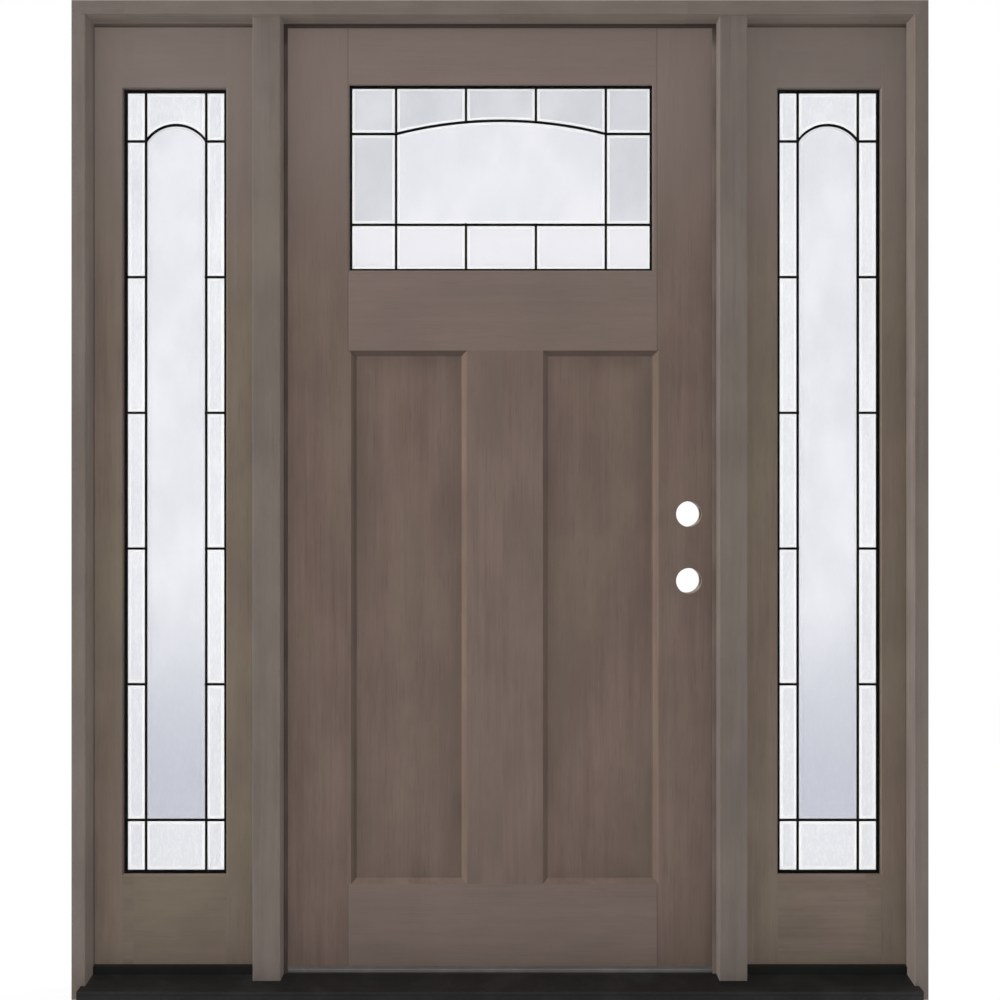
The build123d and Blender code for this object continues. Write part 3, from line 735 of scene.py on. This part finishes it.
def grow(name, points, tree, body, slot, edges=(), **values):
    """Run a geometry tree on points or edges and keep the result as a plain mesh that rides on a body."""
    mesh = bpy.data.meshes.new(name)
    mesh.from_pydata(points, edges, [])
    piece = bpy.data.objects.new(name, mesh)
    scene.collection.objects.link(piece)
    modifier = piece.modifiers.new(name, "NODES")
    modifier.node_group = tree
    for item in tree.interface.items_tree:
        if item.in_out == "INPUT" and item.name.replace(" ", "_") in values:
            modifier[item.identifier] = values[item.name.replace(" ", "_")]
    result = bpy.data.meshes.new_from_object(piece.evaluated_get(bpy.context.evaluated_depsgraph_get()))
    piece.modifiers.clear()
    piece.data = result
    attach(piece, body)
    print(name, len(result.polygons), "faces")
    return piece


FLOAT = "NodeSocketFloat"

# %% Screw tree
screws, given, made = geometry_tree("hinge_screws", [
    ("Head Radius", FLOAT, 0.0042), ("Head Height", FLOAT, 0.0012), ("Recess Width", FLOAT, 0.0011),
    ("Recess Length", FLOAT, 0.0052), ("Pitch", FLOAT, 0.025), ("Stagger", FLOAT, 0.006),
    ("Turn", FLOAT, 90.0)])
head = screws.add("GeometryNodeMeshCylinder", {"Vertices": 24, "Radius": given["Head Radius"],
                                               "Depth": given["Head Height"]})
lift = screws.add("ShaderNodeCombineXYZ", {2: screws.math("MULTIPLY", given["Head Height"], 0.5)})
cross = screws.add("GeometryNodeJoinGeometry")
for wide, deep in (("Recess Length", "Recess Width"), ("Recess Width", "Recess Length")):
    size = screws.add("ShaderNodeCombineXYZ", {0: given[wide], 1: given[deep], 2: given["Head Height"]})
    bar = screws.add("GeometryNodeMeshCube", {"Size": size.outputs[0]})
    raised = screws.add("GeometryNodeTransform", {"Geometry": bar.outputs["Mesh"],
                                                  "Translation": lift.outputs[0]})
    screws.tree.links.new(raised.outputs[0], cross.inputs[0])
cut = screws.add("GeometryNodeMeshBoolean", {"Mesh 1": head.outputs["Mesh"], "Mesh 2": cross.outputs[0]},
                 operation="DIFFERENCE")
index = screws.add("GeometryNodeInputIndex").outputs[0]
left_or_right = screws.math("SUBTRACT", screws.math("MODULO", index, 2.0), 0.5)
zigzag = screws.math("MULTIPLY", left_or_right, given["Stagger"])
step = screws.add("ShaderNodeCombineXYZ", {2: given["Pitch"]}).outputs[0]
start = screws.add("ShaderNodeCombineXYZ", {2: screws.math("MULTIPLY", given["Pitch"], -1.5)}).outputs[0]
row = screws.add("GeometryNodeMeshLine", {"Count": 4, "Start Location": start, "Offset": step}, mode="OFFSET")
shifted = screws.add("GeometryNodeSetPosition", {
    "Geometry": row.outputs[0],
    "Offset": screws.add("ShaderNodeCombineXYZ", {1: screws.math("MULTIPLY", zigzag, 2.0)}).outputs[0]})
facing = screws.add("ShaderNodeCombineXYZ", {1: screws.math("RADIANS", given["Turn"])}).outputs[0]
set_in = screws.add("GeometryNodeInstanceOnPoints", {"Points": shifted.outputs[0], "Instance": cut.outputs[0],
                                                     "Rotation": facing})
per_hinge = screws.add("GeometryNodeInstanceOnPoints", {"Points": given["Geometry"],
                                                        "Instance": set_in.outputs[0]})
solid = screws.add("GeometryNodeRealizeInstances", {"Geometry": per_hinge.outputs[0]})
dressed = screws.add("GeometryNodeSetMaterial", {"Geometry": solid.outputs[0], "Material": hinge_metal})
screws.tree.links.new(dressed.outputs[0], made["Geometry"])
print("tree", screws.tree.name)

# %% Screws on both leaves of every hinge
proud = 0.0003
head_height = 0.0012
leaf_low, leaf_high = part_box("frame_hinge_leaves")
hinge_height = 0.1016
pin_head = 0.003
half_plate = 0.014
frame_plate_face = -0.4622
door_plate_face = -0.4572
top_hinge = leaf_high.z - pin_head - hinge_height
hinge_lows = (leaf_low.z, (leaf_low.z + top_hinge) / 2, top_hinge)
plate_middle = leaf_low.y + half_plate
for body, owner, face, sign in (("frame", "frame", frame_plate_face, 1.0),
                                ("door_leaf", "door", door_plate_face, -1.0)):
    centre = face + sign * (proud - head_height / 2)
    points = [(centre, plate_middle, low + hinge_height / 2) for low in hinge_lows]
    grow(f"{owner}_hinge_screws", points, screws.tree, body, "hinge_metal", Head_Height=head_height,
         Turn=90.0 * sign)

# %% [markdown]
# ## Putty and solder on the cames
# A glazier brushes black putty under the edges of the cames, and a thin line of it stays beside each
# one. Where two cames meet there is a bead of solder, which spreads into a low dome and is blackened
# with the lead. Both follow the layout of the cames, so the bars and their crossings are worked out once
# for each panel. Geometry Nodes then run a flat bar along every line for the putty, and set a dome of
# slightly varying size on each crossing, on both sides of the panel.
#
# The distances are taken from the edge of the opening that the panel fills: border is the strip that
# the panel leaves free there, inset the way to the upright bars, lower the way up to the lowest bar and
# drop the way down to the ends of the arch. Bays are the pieces along a side, pitch is the arch's rise
# for half its span, and thirds says whether short bars divide the rows over and under the centre.

# %% Layout of a leaded panel
def leading(node, border, inset, lower, drop, bays, pitch, thirds):
    """Bars of one panel as lists of (x, z) points, and the crossings where they are soldered."""
    low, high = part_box(node)
    middle = (low.x + high.x) / 2
    half = (high.x - low.x) / 2 + border - inset
    sill_line = low.z - border + lower
    spring = high.z + border - drop
    rise = half * pitch
    radius = (half ** 2 + rise ** 2) / (2 * rise)

    def arch(x):
        return spring + rise - radius + math.sqrt(radius ** 2 - x ** 2)

    across = [half * (step / arch_steps * 2 - 1) for step in range(arch_steps + 1)]
    bars = [[(low.x, sill_line), (high.x, sill_line)], [(middle + x, arch(x)) for x in across]]
    crossings = []
    for side, edge in ((-1, low.x), (1, high.x)):
        column = middle + side * half
        levels = [sill_line + (spring - sill_line) * bay / bays for bay in range(bays + 1)]
        bars += [[(column, low.z), (column, high.z)]]
        bars += [[(edge, level), (column, level)] for level in levels[1:]]
        crossings += [(column, low.z), (column, high.z)]
        crossings += [(x, level) for level in levels for x in (edge, column)]
        if thirds:
            x = middle + side * half / 3
            crown = arch(half / 3)
            bars += [[(x, low.z), (x, sill_line)], [(x, crown), (x, high.z)]]
            crossings += [(x, low.z), (x, sill_line), (x, crown), (x, high.z)]
    print(node, len(bars), "bars,", len(crossings), "crossings")
    return bars, crossings


arch_steps = 24
door_lines = {"border": 0.001, "inset": 0.097, "lower": 0.0976, "drop": 0.1, "bays": 1, "pitch": 0.1267,
              "thirds": True}
side_lines = {"border": 0.005, "inset": 0.045, "lower": 0.1117, "drop": 0.108, "bays": 5, "pitch": 0.5433,
              "thirds": False}
panels = {}
for owner in lites:
    panels[owner] = leading(f"{owner}_cames", **(door_lines if owner == "door" else side_lines))

# %% Putty tree
putty, given, made = geometry_tree("came_putty", [("Line Width", FLOAT, 0.005),
                                                  ("Line Depth", FLOAT, 0.0074)])
line = putty.add("GeometryNodeMeshToCurve", {"Mesh": given["Geometry"]})
level_line = putty.add("GeometryNodeSetCurveNormal", {"Curve": line.outputs[0], "Normal": (0.0, 1.0, 0.0)},
                       mode="FREE")
section = putty.add("GeometryNodeCurvePrimitiveQuadrilateral", {"Width": given["Line Depth"],
                                                                "Height": given["Line Width"]})
bar = putty.add("GeometryNodeCurveToMesh", {"Curve": level_line.outputs[0],
                                            "Profile Curve": section.outputs[0], "Fill Caps": True})
solid = putty.add("GeometryNodeRealizeInstances", {"Geometry": bar.outputs[0]})
dressed = putty.add("GeometryNodeSetMaterial", {"Geometry": solid.outputs[0], "Material": came_black})
putty.tree.links.new(dressed.outputs[0], made["Geometry"])
print("tree", putty.tree.name)

# %% Solder tree
solder, given, made = geometry_tree("solder_beads", [("Bead Radius", FLOAT, 0.0034),
                                                     ("Bead Height", FLOAT, 0.0007)])
dome = solder.add("GeometryNodeMeshIcoSphere", {"Radius": 1.0, "Subdivisions": 2})
least, most = 0.85, 1.15
spread = solder.add("FunctionNodeRandomValue", {2: least, 3: most, "Seed": 7}, data_type="FLOAT").outputs[1]
width = solder.math("MULTIPLY", given["Bead Radius"], spread)
size = solder.add("ShaderNodeCombineXYZ", {0: width, 1: given["Bead Height"], 2: width}).outputs[0]
beads = solder.add("GeometryNodeInstanceOnPoints", {"Points": given["Geometry"], "Instance": dome.outputs[0],
                                                    "Scale": size})
solid = solder.add("GeometryNodeRealizeInstances", {"Geometry": beads.outputs[0]})
smooth = solder.add("GeometryNodeSetShadeSmooth", {"Geometry": solid.outputs[0]})
dressed = solder.add("GeometryNodeSetMaterial", {"Geometry": smooth.outputs[0], "Material": came_black})
solder.tree.links.new(dressed.outputs[0], made["Geometry"])
print("tree", solder.tree.name)

# %% Putty and beads on the three panels
def lay_putty(name, bars, owner, body, line_width):
    """Run putty along bars, a little behind the faces of the cames."""
    low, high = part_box(f"{owner}_cames")
    points, edges = [], []
    for bar in bars:
        edges += [(len(points) + step, len(points) + step + 1) for step in range(len(bar) - 1)]
        points += [(x, (low.y + high.y) / 2, z) for x, z in bar]
    grow(name, points, putty.tree, body, "came_black", edges=edges, Line_Width=line_width,
         Line_Depth=high.y - low.y - 2 * flange_proud)


flange_proud = 0.0003
line_width = 0.005
for owner, (bars, crossings) in panels.items():
    body = "door_leaf" if owner == "door" else "frame"
    low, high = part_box(f"{owner}_cames")
    lay_putty(f"{owner}_putty", bars, owner, body, line_width)
    grow(f"{owner}_solder", [(x, y, z) for x, z in crossings for y in (low.y, high.y)], solder.tree, body,
         "came_black")

# %% [markdown]
# The door's panel is puttied round its edge as well. The sidelites have a wide black border there, which
# hides that line.

# %% Putty round the door's panel
edge_width = 0.0038
low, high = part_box("door_cames")
left, right = low.x + edge_width / 2, high.x - edge_width / 2
bottom, top = low.z + edge_width / 2, high.z - edge_width / 2
rim = [[(left, bottom), (right, bottom)], [(left, top), (right, top)],
       [(left, bottom), (left, top)], [(right, bottom), (right, top)]]
lay_putty("door_edge_putty", rim, "door", "door_leaf", edge_width)
